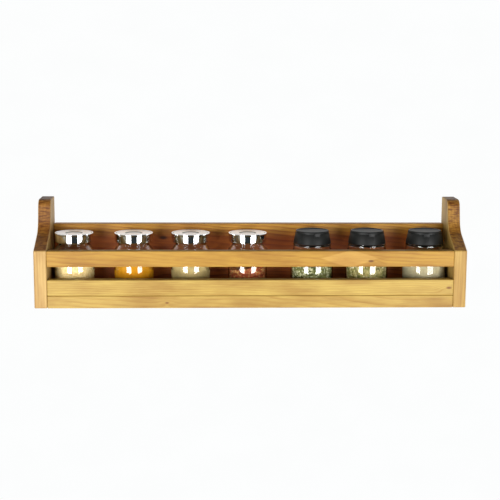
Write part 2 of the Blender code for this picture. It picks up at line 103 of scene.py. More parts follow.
CAMERA_PLACE = Vector((-0.0625, -1.6262, 0.3405))
CAMERA_YAW = 0.0381
CAMERA_PITCH = 0.1626
CAMERA_ROLL = 0.0055
CAMERA_LENS_MM = 83.38
camera_data = bpy.data.cameras.new("camera")
camera_data.lens = CAMERA_LENS_MM
camera_data.clip_start = 0.05
camera = bpy.data.objects.new("camera", camera_data)
camera.matrix_world = (Matrix.Translation(CAMERA_PLACE) @ Matrix.Rotation(-CAMERA_YAW, 4, 'Z')
                       @ Matrix.Rotation(math.pi / 2 - CAMERA_PITCH, 4, 'X') @ Matrix.Rotation(CAMERA_ROLL, 4,
                       'Z'))
bpy.context.scene.collection.objects.link(camera)
bpy.context.scene.camera = camera
bpy.context.scene.view_settings.view_transform = 'Standard'

SWEEP_FLOOR = -1.2
SWEEP_WALL = 2.4
SWEEP_FRONT = -3.5
SWEEP_TOP = 3.0
SWEEP_COVE = 0.8
SWEEP_HALF_WIDTH = 4.0
COVE_STEPS = 16

# White background paper, matt, lit through from behind, so it glows evenly and casts back soft light
paper, paper_output = new_material("backlit_white_paper")
paper_fibre = add_node(paper.node_tree, "ShaderNodeTexNoise", {"Scale": 40.0, "Detail": 3.0})
paper_tone = add_node(paper.node_tree, "ShaderNodeMix", {0: paper_fibre.outputs["Fac"],
                      6: hex_colour("#FBFCFC"),
                      7: hex_colour("#FEFFFF")}, data_type='RGBA')
paper_glow = add_node(paper.node_tree, "ShaderNodeEmission", {"Color": paper_tone.outputs[2],
                      "Strength": 1.0})
paper.node_tree.links.new(paper_glow.outputs[0], paper_output.inputs["Surface"])

sweep_line = [(SWEEP_FRONT, SWEEP_FLOOR)]
for step in range(COVE_STEPS + 1):
    angle = -math.pi / 2 + math.pi / 2 * step / COVE_STEPS
    sweep_line.append((SWEEP_WALL - SWEEP_COVE + SWEEP_COVE * math.cos(angle),
                       SWEEP_FLOOR + SWEEP_COVE + SWEEP_COVE * math.sin(angle)))
sweep_line.append((SWEEP_WALL, SWEEP_TOP))
sweep_shape = bmesh.new()
sweep_left = [sweep_shape.verts.new((-SWEEP_HALF_WIDTH, y, z)) for y, z in sweep_line]
sweep_right = [sweep_shape.verts.new((SWEEP_HALF_WIDTH, y, z)) for y, z in sweep_line]
for index in range(len(sweep_line) - 1):
    sweep_shape.faces.new((sweep_left[index], sweep_right[index], sweep_right[index + 1],
                          sweep_left[index + 1]))
mesh_piece("paper_sweep", sweep_shape, paper)

CARD_TOP = 0.9
CARD_BOTTOM = -1.1
CEILING_HEIGHT = 1.5
CEILING_REACH = 2.2
CEILING_REAR = 0.75


def dim_card(name, code, strength, corners):
    """A card seen in polished surfaces only: it neither lights the rack nor shades it."""
    card_material, card_output = new_material(name + "_cloth")
    card_weave = add_node(card_material.node_tree, "ShaderNodeTexNoise", {"Scale": 30.0})
    card_tone = add_node(card_material.node_tree, "ShaderNodeMix", {0: card_weave.outputs["Fac"],
                         6: hex_colour(code), 7: hex_colour("#F4F2EC")}, data_type='RGBA',
                         blend_type='MULTIPLY')
    card_glow = add_node(card_material.node_tree, "ShaderNodeEmission", {"Color": card_tone.outputs[2],
                         "Strength": strength})
    card_material.node_tree.links.new(card_glow.outputs[0], card_output.inputs["Surface"])
    shape = bmesh.new()
    shape.faces.new([shape.verts.new(corner) for corner in corners])
    card = mesh_piece(name, shape, card_material)
    card.visible_camera = False
    card.visible_shadow = False
    card.visible_diffuse = False


def card_corners(left, right, distance):
    """Corners of an upright card between two bearings, in degrees from straight ahead."""
    ends = [(distance * math.sin(math.radians(degrees)), -distance * math.cos(math.radians(degrees)))
            for degrees in (left, right)]
    return [(*ends[0], CARD_BOTTOM), (*ends[1], CARD_BOTTOM), (*ends[1], CARD_TOP), (*ends[0], CARD_TOP)]


dim_card("grey_flat_left", "#B9B4A2", 0.75, card_corners(-105, -40, 2.2))
dim_card("black_flat_middle", "#33383A", 1.0, card_corners(-24, 24, 1.62))
dim_card("black_flat_right", "#2E2F2E", 1.0, card_corners(45, 72, 2.0))
dim_card("grey_flat_right", "#D8D4C8", 0.8, card_corners(72, 110, 2.0))
dim_card("dark_ceiling", "#6A675F", 0.6, (
    (-CEILING_REACH, -CEILING_REACH, CEILING_HEIGHT), (CEILING_REACH, -CEILING_REACH, CEILING_HEIGHT),
    (CEILING_REACH, CEILING_REAR, CEILING_HEIGHT), (-CEILING_REACH, CEILING_REAR, CEILING_HEIGHT)))

SOFTBOX_DISTANCE = 1.5
SOFTBOX_LOW = -0.36
SOFTBOX_HIGH = 0.29


def softbox(name, degrees, width, power):
    """An upright softbox at a bearing from straight ahead, turned to the rack."""
    light = bpy.data.lights.new(name, 'AREA')
    light.shape = 'RECTANGLE'
    light.size = width
    light.size_y = SOFTBOX_HIGH - SOFTBOX_LOW
    light.energy = power
    lamp = bpy.data.objects.new(name, light)
    azimuth = math.radians(degrees)
    inward = Vector((-math.sin(azimuth), math.cos(azimuth), 0.0))
    lamp.location = -SOFTBOX_DISTANCE * inward + Vector((0.0, 0.0, (SOFTBOX_LOW + SOFTBOX_HIGH) / 2))
    lamp.rotation_euler = inward.to_track_quat('-Z', 'Y').to_euler()
    lamp.visible_camera = False
    bpy.context.scene.collection.objects.link(lamp)


softbox("left_softbox", -33.0, 0.66, 21.5)
softbox("right_softbox", 33.5, 0.78, 18.5)

DOME_STRENGTH = 0.25
SURROUND_STRENGTH = 0.97
world = bpy.data.worlds.new("dim_dome")
world.use_nodes = True
world.node_tree.nodes.clear()
dome = add_node(world.node_tree, "ShaderNodeBackground", {"Color": hex_colour("#F2F4F4"),
                "Strength": DOME_STRENGTH})
surround = add_node(world.node_tree, "ShaderNodeBackground", {"Color": hex_colour("#F8F8F6"),
                    "Strength": SURROUND_STRENGTH})
seen = add_node(world.node_tree, "ShaderNodeLightPath")
world_mix = add_node(world.node_tree, "ShaderNodeMixShader", {0: seen.outputs["Is Diffuse Ray"],
                     1: surround.outputs[0], 2: dome.outputs[0]})
add_node(world.node_tree, "ShaderNodeOutputWorld", {"Surface": world_mix.outputs[0]})
bpy.context.scene.world = world

# Boards
# Six boards of planed pine, stained honey brown and oiled: two eared sides with upright grain, and a shelf,
# a back and two rails with the grain along them. Each was cut at another place in the log, so its rings,
# its tone and its knots are its own.


def ramp(tree, factor, stops, interpolation='LINEAR'):
    """A colour ramp from (position, sRGB hex) stops."""
    node = add_node(tree, "ShaderNodeValToRGB", {0: factor})
    node.color_ramp.interpolation = interpolation
    while len(node.color_ramp.elements) < len(stops):
        node.color_ramp.elements.new(1.0)
    for element, (position, code) in zip(node.color_ramp.elements, stops):
        element.position = position
        element.color = hex_colour(code)
    return node.outputs["Color"]


SAWN_ABOVE = 0.0802
BACK_BOARD_MIDDLE = 0.0425
SAW_MARK_LEAN = math.radians(50)
SAWN_EDGE_FULL = 0.0076
SAWN_EDGE_END = 0.0086
SHADE_FADE_BELOW = 0.009
SHADE_FADE_ABOVE = 0.006
FLAME_WANDER = 1.3
FLAME_FULL = 1.55
FLAME_END = 1.70


def stained_pine(name, tones, upright, pith, slant, ring_mm, knots=(), seed=0.0, sawn=None,
                 shaded=None, flame=None):
    """Planed pine with an oiled stain: bands of early and late wood, fine fibres, knots and blotches.

    tones are hex values of the early wood, late wood and knots. pith is where the log's middle lies across
    the board, slant how fast it drifts along it, and a knot is (x, y, z, radius) in metres. sawn is for the
    curved edge of an ear: the x of its middle, the tone that the rough edge takes up, and the tone of its saw
    marks. shaded is a (height, tone) of painted shade: below that height the inner face is darkened by the
    tone, in place of cast shadow. flame is (x, z, half length, half height, tone) of one pale patch with
    pointed ends, where the cut runs along a ring.
    """
    material, output = new_material(name)
    tree = material.node_tree
    place = add_node(tree, "ShaderNodeTexCoord").outputs["Object"]
    along = place
    if upright:
        along = add_node(tree, "ShaderNodeMapping", {"Vector": place, "Rotation": (0.0, math.pi / 2, 0.0)},
                         vector_type='POINT').outputs[0]
    shifted = add_node(tree, "ShaderNodeVectorMath", {0: along, 1: (seed, 0.3 * seed, 0.7 * seed)}).outputs[0]

    # Slow wander of the rings along the board, and the log's middle drifting across it
    wander_place = add_node(tree, "ShaderNodeMapping", {"Vector": shifted,
                            "Scale": (5.0, 22.0, 22.0)}).outputs[0]
    wander = add_node(tree, "ShaderNodeTexNoise", {"Vector": wander_place, "Scale": 1.0, "Detail": 2.5,
                      "Roughness": 0.45})
    parts = add_node(tree, "ShaderNodeSeparateXYZ", {0: along})
    drift_y = add_node(tree, "ShaderNodeMath", {0: parts.outputs[0], 1: slant[0], 2: parts.outputs[1]},
                       operation='MULTIPLY_ADD').outputs[0]
    drift_z = add_node(tree, "ShaderNodeMath", {0: parts.outputs[0], 1: slant[1], 2: parts.outputs[2]},
                       operation='MULTIPLY_ADD').outputs[0]
    across = add_node(tree, "ShaderNodeCombineXYZ", {1: drift_y, 2: drift_z}).outputs[0]
    from_pith = add_node(tree, "ShaderNodeVectorMath", {0: across, 1: (0.0, *pith)},
                         operation='SUBTRACT').outputs[0]
    radius = add_node(tree, "ShaderNodeVectorMath", {0: from_pith}, operation='LENGTH').outputs["Value"]
    rings = add_node(tree, "ShaderNodeMath", {0: wander.outputs["Fac"], 1: 5.0 * ring_mm * MM, 2: radius},
                     operation='MULTIPLY_ADD').outputs[0]

    # Rings part round a knot, which is darker
    dark = None
    for x, y, z, size in knots:
        offset = add_node(tree, "ShaderNodeVectorMath", {0: place, 1: (x, y, z)},
                          operation='SUBTRACT').outputs[0]
        squeeze = (1.0, 1.0, 0.45) if upright else (0.45, 1.0, 1.0)
        offset = add_node(tree, "ShaderNodeVectorMath", {0: offset, 1: squeeze},
                          operation='MULTIPLY').outputs[0]
        away = add_node(tree, "ShaderNodeVectorMath", {0: offset}, operation='LENGTH').outputs["Value"]
        push = add_node(tree, "ShaderNodeMapRange", {"Value": away, "From Min": 0.0, "From Max": 5.0 * size,
                        "To Min": 2.2 * size, "To Max": 0.0}, interpolation_type='SMOOTHERSTEP').outputs[0]
        rings = add_node(tree, "ShaderNodeMath", {0: rings, 1: push}).outputs[0]
        core = add_node(tree, "ShaderNodeMapRange", {"Value": away, "From Min": 0.25 * size,
                        "From Max": 1.1 * size,
                        "To Min": 1.0, "To Max": 0.0}, interpolation_type='SMOOTHSTEP').outputs[0]
        if dark is not None:
            core = add_node(tree, "ShaderNodeMath", {0: dark, 1: core}, operation='MAXIMUM').outputs[0]
        dark = core

    turns = add_node(tree, "ShaderNodeMath", {0: rings, 1: 1.0 / (ring_mm * MM)},
                     operation='MULTIPLY').outputs[0]
    year = add_node(tree, "ShaderNodeMath", {0: turns}, operation='FRACT').outputs[0]
    late = add_node(tree, "ShaderNodeMapRange", {"Value": year, "From Min": 0.35, "From Max": 0.95},
                    interpolation_type='SMOOTHSTEP').outputs[0]
    edge = add_node(tree, "ShaderNodeMapRange", {"Value": year, "From Min": 0.95, "From Max": 1.0,
                    "To Min": 1.0, "To Max": 0.0}).outputs[0]
    band = add_node(tree, "ShaderNodeMath", {0: late, 1: edge}, operation='MULTIPLY').outputs[0]
    strength_place = add_node(tree, "ShaderNodeMapping", {"Vector": shifted,
                              "Scale": (6.0, 40.0, 40.0)}).outputs[0]
    strength = add_node(tree, "ShaderNodeTexNoise", {"Vector": strength_place, "Scale": 1.0, "Detail": 2.0})
    strength = add_node(tree, "ShaderNodeMapRange", {"Value": strength.outputs["Fac"], "From Min": 0.3,
                        "From Max": 0.7, "To Min": 0.25, "To Max": 1.0}).outputs[0]
    band = add_node(tree, "ShaderNodeMath", {0: band, 1: strength}, operation='MULTIPLY').outputs[0]

    # Fibres are about 0.2 mm wide and drawn at 0.8 mm so that they show, and 40 times as long as wide
    fibre_place = add_node(tree, "ShaderNodeMapping", {"Vector": shifted,
                           "Scale": (30.0, 1250.0, 1250.0)}).outputs[0]
    fibre = add_node(tree, "ShaderNodeTexNoise", {"Vector": fibre_place, "Scale": 1.0, "Detail": 3.0,
                     "Roughness": 0.6}).outputs["Fac"]
    blotch_place = add_node(tree, "ShaderNodeMapping", {"Vector": shifted,
                            "Scale": (14.0, 45.0, 45.0)}).outputs[0]
    blotch = add_node(tree, "ShaderNodeTexNoise", {"Vector": blotch_place, "Scale": 1.0,
                      "Detail": 3.0}).outputs["Fac"]

    colour = ramp(tree, band, ((0.0, tones[0]), (1.0, tones[1])))
    at = add_node(tree, "ShaderNodeSeparateXYZ", {0: place}).outputs
    if flame:
        centre = (flame[0], 0.0, flame[1])
        reach = (1.0 / flame[2], 0.0, 1.0 / flame[3])
        offset = add_node(tree, "ShaderNodeVectorMath", {0: place, 1: centre},
                          operation='SUBTRACT').outputs[0]
        offset = add_node(tree, "ShaderNodeVectorMath", {0: offset, 1: reach},
                          operation='MULTIPLY').outputs[0]
        offset = add_node(tree, "ShaderNodeVectorMath", {0: offset}, operation='ABSOLUTE').outputs[0]
        away = add_node(tree, "ShaderNodeVectorMath", {0: offset, 1: (1.0, 0.0, 1.0)},
                        operation='DOT_PRODUCT').outputs["Value"]
        away = add_node(tree, "ShaderNodeMath", {0: wander.outputs["Fac"], 1: FLAME_WANDER, 2: away},
                        operation='MULTIPLY_ADD').outputs[0]
        inside_flame = add_node(tree, "ShaderNodeMapRange", {"Value": away, "From Min": FLAME_FULL,
                                "From Max": FLAME_END,
                                "To Min": 1.0, "To Max": 0.0}).outputs[0]
        colour = add_node(tree, "ShaderNodeMix", {0: inside_flame, 6: colour, 7: hex_colour(flame[4])},
                          data_type='RGBA').outputs[2]
    # Painted shade: below a height the inner face is darkened, in place of the shadow under the rail and lids
    if shaded:
        painted_shade_mask = add_node(tree, "ShaderNodeMapRange", {"Value": at[2], "From Min": shaded[0] - SHADE_FADE_BELOW,
                        "From Max": shaded[0] + SHADE_FADE_ABOVE, "To Min": 1.0, "To Max": 0.0}).outputs[0]
        inner = add_node(tree, "ShaderNodeMath", {0: at[1], 1: BACK_BOARD_MIDDLE},
                         operation='LESS_THAN').outputs[0]
        painted_shade_mask = add_node(tree, "ShaderNodeMath", {0: painted_shade_mask, 1: inner}, operation='MULTIPLY').outputs[0]
        colour = add_node(tree, "ShaderNodeMix", {0: painted_shade_mask, 6: colour, 7: hex_colour(shaded[1])},
                          data_type='RGBA',
                          blend_type='MULTIPLY').outputs[2]
    fibre_tone = ramp(tree, fibre, ((0.30, "#C9BCA8"), (0.62, "#FFFFFF")))
    colour = add_node(tree, "ShaderNodeMix", {0: 0.55, 6: colour, 7: fibre_tone}, data_type='RGBA',
                      blend_type='MULTIPLY').outputs[2]
    blotch_tone = ramp(tree, blotch, ((0.34, "#D8C6B4"), (0.60, "#FFFFFF")))
    colour = add_node(tree, "ShaderNodeMix", {0: 0.8, 6: colour, 7: blotch_tone}, data_type='RGBA',
                      blend_type='MULTIPLY').outputs[2]
    if dark is not None:
        colour = add_node(tree, "ShaderNodeMix", {0: dark, 6: colour, 7: hex_colour(tones[2])},
                          data_type='RGBA').outputs[2]

    height = add_node(tree, "ShaderNodeMath", {0: band, 1: 0.6, 2: fibre},
                      operation='MULTIPLY_ADD').outputs[0]
    if sawn:
        middle, stain, marks = sawn
        aside = add_node(tree, "ShaderNodeMath", {0: at[0], 1: middle}, operation='SUBTRACT').outputs[0]
        aside = add_node(tree, "ShaderNodeMath", {0: aside}, operation='ABSOLUTE').outputs[0]
        on_edge = add_node(tree, "ShaderNodeMapRange", {"Value": aside, "From Min": SAWN_EDGE_FULL,
                           "From Max": SAWN_EDGE_END,
                           "To Min": 1.0, "To Max": 0.0}).outputs[0]
        above = add_node(tree, "ShaderNodeMapRange", {"Value": at[2], "From Min": SAWN_ABOVE,
                         "From Max": SAWN_ABOVE + 0.001}).outputs[0]
        rough = add_node(tree, "ShaderNodeMath", {0: on_edge, 1: above}, operation='MULTIPLY').outputs[0]
        mark_place = add_node(tree, "ShaderNodeMapping", {"Vector": place,
                              "Rotation": (0.0, SAW_MARK_LEAN, 0.0),
                              "Scale": (120.0, 60.0, 620.0)}).outputs[0]
        saw = add_node(tree, "ShaderNodeTexNoise", {"Vector": mark_place, "Scale": 1.0,
                       "Detail": 3.0}).outputs["Fac"]
        saw_tone = ramp(tree, saw, ((0.36, marks), (0.58, "#FFFFFF")))
        stained = add_node(tree, "ShaderNodeMix", {0: 1.0, 6: colour, 7: hex_colour(stain)}, data_type='RGBA',
                           blend_type='MULTIPLY').outputs[2]
        stained = add_node(tree, "ShaderNodeMix", {0: 1.0, 6: stained, 7: saw_tone}, data_type='RGBA',
                           blend_type='MULTIPLY').outputs[2]
        colour = add_node(tree, "ShaderNodeMix", {0: rough, 6: colour, 7: stained},
                          data_type='RGBA').outputs[2]
    bump = add_node(tree, "ShaderNodeBump", {"Height": height, "Strength": 0.25,
                    "Distance": 0.0003}).outputs[0]
    gloss = add_node(tree, "ShaderNodeMapRange", {"Value": fibre, "To Min": 0.42, "To Max": 0.62}).outputs[0]
    shader = add_node(tree, "ShaderNodeBsdfPrincipled", {"Base Color": colour, "Roughness": gloss,
                      "Normal": bump,
                      "IOR": 1.48, "Specular IOR Level": 0.35})
    tree.links.new(shader.outputs[0], output.inputs["Surface"])
    return material


def finish_node(node, material):
    """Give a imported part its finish."""
    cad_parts[node].data.materials.clear()
    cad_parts[node].data.materials.append(material)


finish_node("upper_front_rail", stained_pine(
    "stained_pine_upper_rail", ("#AD8431", "#9E7224", "#663E16"), False, (-0.030, 0.110), (0.02, 0.05), 5.0,
    ((0.166, -0.050, 0.066, 0.0024),), 1.3, flame=(0.138, 0.070, 0.036, 0.0125, "#BE9646")))
finish_node("lower_front_rail", stained_pine(
    "stained_pine_lower_rail", ("#B69A4E", "#A78539", "#71481D"), False, (0.02, 0.12), (0.0, 0.012), 2.6,
    ((0.276, -0.050, 0.028, 0.0024),), 4.1))
finish_node("shelf_board", stained_pine(
    "stained_pine_shelf", ("#B1934A", "#9C7730", "#6E441C"), False, (0.02, 0.055), (0.0, 0.06), 4.2,
    ((-0.117, -0.050, 0.0075, 0.0016),), 7.7))
# The back board's inner face takes painted shade below 95 mm, in place of the shadow cast on it
finish_node("back_board", stained_pine(
    "stained_pine_back", ("#C99334", "#A4661F", "#4A2208"), False, (0.00, 0.020), (0.0, 0.09), 5.5,
    ((-0.125, 0.035, 0.086, 0.0035),), 2.9, shaded=(0.095, "#E0A076")))
finish_node("left_side_board", stained_pine(
    "stained_pine_left_side", ("#B9985C", "#A78145", "#70441F"), True, (-0.09, 0.02), (0.03, 0.0), 4.5, (),
    5.2,
    (-0.29125, "#C6A46B", "#B09878")))
finish_node("right_side_board", stained_pine(
    "stained_pine_right_side", ("#B4934E", "#9D7935", "#6F461E"), True, (-0.08, -0.03), (-0.04, 0.0), 4.0, (),
    9.4,
    (0.29125, "#E6CF9B", "#A88A66")))

# Screws
# Zinc-plated steel wood screws, cold headed with a cross recess and rolled threads. Six hold each side to the
# boards' ends, and two hold each hanger plate.

# Zinc plate is a dull silver with a faint yellow passivation, and mottled where it was tumbled
zinc, zinc_output = new_material("zinc_plated_steel")
zinc_place = add_node(zinc.node_tree, "ShaderNodeTexCoord").outputs["Object"]
zinc_mottle = add_node(zinc.node_tree, "ShaderNodeTexNoise", {"Vector": zinc_place, "Scale": 900.0,
                       "Detail": 3.0})
zinc_rough = add_node(zinc.node_tree, "ShaderNodeMapRange", {"Value": zinc_mottle.outputs["Fac"],
                      "To Min": 0.22,
                      "To Max": 0.48}).outputs[0]
zinc_tone = ramp(zinc.node_tree, zinc_mottle.outputs["Fac"], ((0.35, "#B9B39E"), (0.65, "#D8D3C4")))
zinc_shader = add_node(zinc.node_tree, "ShaderNodeBsdfPrincipled", {"Base Color": zinc_tone, "Metallic": 1.0,
                       "Roughness": zinc_rough})
zinc.node_tree.links.new(zinc_shader.outputs[0], zinc_output.inputs["Surface"])

RECESS_LENGTH_SHARE = 1.15
RECESS_WIDTH_SHARE = 0.24
RECESS_DEPTH_SHARE = 1.3
RIDGE_SHARE = 0.22
TIP_RADIUS = 0.0002


def screw_tree():
    """Screws on points: a countersunk head with a cross recess, a shank and a rolled thread."""
    tree = bpy.data.node_groups.new("countersunk_screws", 'GeometryNodeTree')
    tree.interface.new_socket("Geometry", in_out='INPUT', socket_type='NodeSocketGeometry')
    for label in ("Length", "Shank Radius", "Head Radius", "Head Depth", "Thread Pitch"):
        tree.interface.new_socket(label, in_out='INPUT', socket_type='NodeSocketFloat')
    tree.interface.new_socket("Finish", in_out='INPUT', socket_type='NodeSocketMaterial')
    tree.interface.new_socket("Geometry", in_out='OUTPUT', socket_type='NodeSocketGeometry')
    given = add_node(tree, "NodeGroupInput").outputs

    head = add_node(tree, "GeometryNodeMeshCone", {"Vertices": 32, "Radius Top": given["Head Radius"],
                    "Radius Bottom": given["Shank Radius"], "Depth": given["Head Depth"]}).outputs["Mesh"]
    head_low = add_node(tree, "ShaderNodeMath", {0: given["Head Depth"], 1: -1.0},
                        operation='MULTIPLY').outputs[0]
    head_spot = add_node(tree, "ShaderNodeCombineXYZ", {2: head_low}).outputs[0]
    head = add_node(tree, "GeometryNodeTransform", {"Geometry": head, "Translation": head_spot}).outputs[0]
    recess_long = add_node(tree, "ShaderNodeMath", {0: given["Head Radius"], 1: RECESS_LENGTH_SHARE},
                           operation='MULTIPLY').outputs[0]
    recess_wide = add_node(tree, "ShaderNodeMath", {0: given["Head Radius"], 1: RECESS_WIDTH_SHARE},
                           operation='MULTIPLY').outputs[0]
    recess_deep = add_node(tree, "ShaderNodeMath", {0: given["Head Depth"], 1: RECESS_DEPTH_SHARE},
                           operation='MULTIPLY').outputs[0]
    slots = []
    for width, depth in ((recess_long, recess_wide), (recess_wide, recess_long)):
        size = add_node(tree, "ShaderNodeCombineXYZ", {0: width, 1: depth, 2: recess_deep}).outputs[0]
        slots.append(add_node(tree, "GeometryNodeMeshCube", {"Size": size}).outputs["Mesh"])
    cross = add_node(tree, "GeometryNodeMeshBoolean", operation='UNION', solver='EXACT')
    for slot in slots:
        tree.links.new(slot, cross.inputs["Mesh 2"])
    head_cut = add_node(tree, "GeometryNodeMeshBoolean", {"Mesh 1": head, "Mesh 2": cross.outputs["Mesh"]},
                        operation='DIFFERENCE', solver='EXACT').outputs["Mesh"]

    shank_length = add_node(tree, "ShaderNodeMath", {0: given["Length"], 1: given["Head Depth"]},
                            operation='SUBTRACT').outputs[0]
    shank = add_node(tree, "GeometryNodeMeshCone", {"Vertices": 24, "Side Segments": 2,
                     "Radius Top": given["Shank Radius"], "Radius Bottom": TIP_RADIUS, "Depth": shank_length})
    shank_low = add_node(tree, "ShaderNodeMath", {0: given["Length"], 1: -1.0},
                         operation='MULTIPLY').outputs[0]
    shank_spot = add_node(tree, "ShaderNodeCombineXYZ", {2: shank_low}).outputs[0]
    shank = add_node(tree, "GeometryNodeTransform", {"Geometry": shank.outputs["Mesh"],
                     "Translation": shank_spot}).outputs[0]
    turns = add_node(tree, "ShaderNodeMath", {0: shank_length, 1: given["Thread Pitch"]},
                     operation='DIVIDE').outputs[0]
    helix = add_node(tree, "GeometryNodeCurveSpiral", {"Resolution": 14, "Rotations": turns,
                     "Start Radius": TIP_RADIUS, "End Radius": given["Shank Radius"],
                     "Height": shank_length}).outputs[0]
    helix = add_node(tree, "GeometryNodeTransform", {"Geometry": helix, "Translation": shank_spot}).outputs[0]
    ridge_radius = add_node(tree, "ShaderNodeMath", {0: given["Thread Pitch"], 1: RIDGE_SHARE},
                            operation='MULTIPLY').outputs[0]
    ridge = add_node(tree, "GeometryNodeCurvePrimitiveCircle", {"Resolution": 4, "Radius": ridge_radius})
    thread = add_node(tree, "GeometryNodeCurveToMesh", {"Curve": helix,
                      "Profile Curve": ridge.outputs["Curve"],
                      "Fill Caps": True}).outputs[0]

    screw = add_node(tree, "GeometryNodeJoinGeometry")
    for part in (head_cut, shank, thread):
        tree.links.new(part, screw.inputs[0])
    facing = add_node(tree, "GeometryNodeInputNamedAttribute", {"Name": "facing"}, data_type='FLOAT_VECTOR')
    turn = add_node(tree, "FunctionNodeAlignRotationToVector", {"Vector": facing.outputs["Attribute"]},
                    axis='Z')
    placed = add_node(tree, "GeometryNodeInstanceOnPoints", {"Points": given["Geometry"],
                      "Instance": screw.outputs[0], "Rotation": turn.outputs[0]}).outputs[0]
    solid = add_node(tree, "GeometryNodeRealizeInstances", {0: placed}).outputs[0]
    finished = add_node(tree, "GeometryNodeSetMaterial", {"Geometry": solid,
                        "Material": given["Finish"]}).outputs[0]
    add_node(tree, "NodeGroupOutput", {0: finished})
    return tree


def grown(name, base, tree, values):
    """Run a node tree on a base object and return its result as a plain mesh piece. The base is removed."""
    modifier = base.modifiers.new("tree", 'NODES')
    modifier.node_group = tree
    for item in tree.interface.items_tree:
        if item.in_out == 'INPUT' and item.name in values:
            modifier[item.identifier] = values[item.name]
    bpy.context.view_layer.update()
    mesh = bpy.data.meshes.new_from_object(base.evaluated_get(bpy.context.evaluated_depsgraph_get()))
    mesh.name = name
    piece = bpy.data.objects.new(name, mesh)
    bpy.context.scene.collection.objects.link(piece)
    bpy.data.objects.remove(base)
    return piece


def screw_points(names, facing):
    """A bare point for each packed screw, in the middle of its head's face, and the way that it faces."""
    mesh = bpy.data.meshes.new("screw_points")
    spots = []
    for node in names:
        low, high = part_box(node)
        middle = (low + high) / 2
        spots.append(middle + Vector(tuple(way * (high - low)[axis] / 2 for axis, way in enumerate(facing))))
    mesh.from_pydata(spots, [], [])
    directions = mesh.attributes.new("facing", 'FLOAT_VECTOR', 'POINT')
    for index in range(len(spots)):
        directions.data[index].vector = facing
    points = bpy.data.objects.new("screw_points", mesh)
    bpy.context.scene.collection.objects.link(points)
    return points


SCREWS = screw_tree()
SIDE_SCREW = {"Length": 0.040, "Shank Radius": 0.0014, "Head Radius": 0.0038, "Head Depth": 0.0026,
              "Thread Pitch": 0.0018, "Finish": zinc}
PLATE_SCREW = {"Length": 0.012, "Shank Radius": 0.0010, "Head Radius": 0.0027, "Head Depth": 0.0012,
               "Thread Pitch": 0.0012, "Finish": zinc}
for side, outward in (("left", (-1.0, 0.0, 0.0)), ("right", (1.0, 0.0, 0.0))):
    side_names = [f"{side}_side_screw_{number}" for number in range(1, 7)]
    plate_names = [f"{side}_hanger_screw_{number}" for number in range(1, 3)]
    for label, names, facing, sizes in ((f"{side}_side_screws", side_names, outward, SIDE_SCREW),
                                        (f"{side}_plate_screws", plate_names, (0.0, 1.0, 0.0), PLATE_SCREW)):
        screws = grown(label, screw_points(names, facing), SCREWS, sizes)
        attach(screws, "rack")
        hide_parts(*names)

# Hanger plates
# Pressed steel keyhole plates, zinc plated like the screws, let flush into the rear edges of the ears.
for side in ("left", "right"):
    finish_node(f"{side}_hanger_plate", zinc)

# Jars
# Squat jars of clear pressed glass with thick walls, a heavy floor and a round heel. Four have a round
# shoulder and a threaded neck for a metal lid; three narrow towards a snap-on black cap.


def curve(start, corner, end, steps=6):
    """Points of a smooth bend from start to end, pulled towards the corner."""
    points = []
    for step in range(steps + 1):
        share = step / steps
        points.append(tuple(a * (1 - share) ** 2 + 2 * b * share * (1 - share) + c * share ** 2
                            for a, b, c in zip(start, corner, end)))
    return points


def rounded(corners, steps=4):
    """A profile in metres from (radius, height, fillet) corners in millimetres. A fillet of 0 stays sharp."""
    points = []
    for index, (radius, height, fillet) in enumerate(corners):
        here = Vector((radius, height))
        if not fillet or index in (0, len(corners) - 1):
            points.append(tuple(here * MM))
            continue
        before = Vector(corners[index - 1][:2]) - here
        after = Vector(corners[index + 1][:2]) - here
        start = here + before.normalized() * min(fillet, 0.49 * before.length)
        end = here + after.normalized() * min(fillet, 0.49 * after.length)
        points += curve(tuple(start * MM), tuple(here * MM), tuple(end * MM), steps)
    return points


def turned(name, profile, place, material, steps=96):
    """Spin a profile round the upright axis through place. Its ends lie on the axis, or meet."""
    shape = bmesh.new()
    ring = [shape.verts.new((radius, 0.0, height)) for radius, height in profile]
    edges = [shape.edges.new(pair) for pair in zip(ring, ring[1:])]
    bmesh.ops.spin(shape, geom=ring + edges, cent=(0, 0, 0), axis=(0, 0, 1), angle=math.tau, steps=steps,
                   use_duplicate=False)
    bmesh.ops.remove_doubles(shape, verts=shape.verts, dist=0.000002)
    bmesh.ops.recalc_face_normals(shape, faces=shape.faces)
    from_axis = shape.verts.layers.float.new("from_axis_mm")
    for corner in shape.verts:
        corner[from_axis] = corner.co.xy.length / MM
    bmesh.ops.translate(shape, verts=shape.verts, vec=place)
    return mesh_piece(name, shape, material)


# Soda-lime glass, pressed: clear with a trace of green, glossy, and faintly wavy from the mould. Lamps shine
# through it onto the spice.
glass, glass_output = new_material("pressed_clear_glass")
glass_place = add_node(glass.node_tree, "ShaderNodeTexCoord").outputs["Object"]
glass_wave = add_node(glass.node_tree, "ShaderNodeTexNoise", {"Vector": glass_place, "Scale": 120.0,
                      "Detail": 1.0})
glass_bump = add_node(glass.node_tree, "ShaderNodeBump", {"Height": glass_wave.outputs["Fac"],
                      "Strength": 0.03,
                      "Distance": 0.0004}).outputs[0]
glass_shader = add_node(glass.node_tree, "ShaderNodeBsdfPrincipled", {"Base Color": hex_colour("#FCFDFC"),
                        "Roughness": 0.015, "IOR": 1.52, "Transmission Weight": 1.0, "Normal": glass_bump})
glass_clear = add_node(glass.node_tree, "ShaderNodeBsdfTransparent", {"Color": hex_colour("#CFD0CF")})
glass_path = add_node(glass.node_tree, "ShaderNodeLightPath")
glass_mix = add_node(glass.node_tree, "ShaderNodeMixShader", {0: glass_path.outputs["Is Shadow Ray"],
                     1: glass_shader.outputs[0], 2: glass_clear.outputs[0]})
glass.node_tree.links.new(glass_mix.outputs[0], glass_output.inputs["Surface"])

CHROME_JARS = (1, 2, 3, 4)
FLIP_JARS = (5, 6, 7)
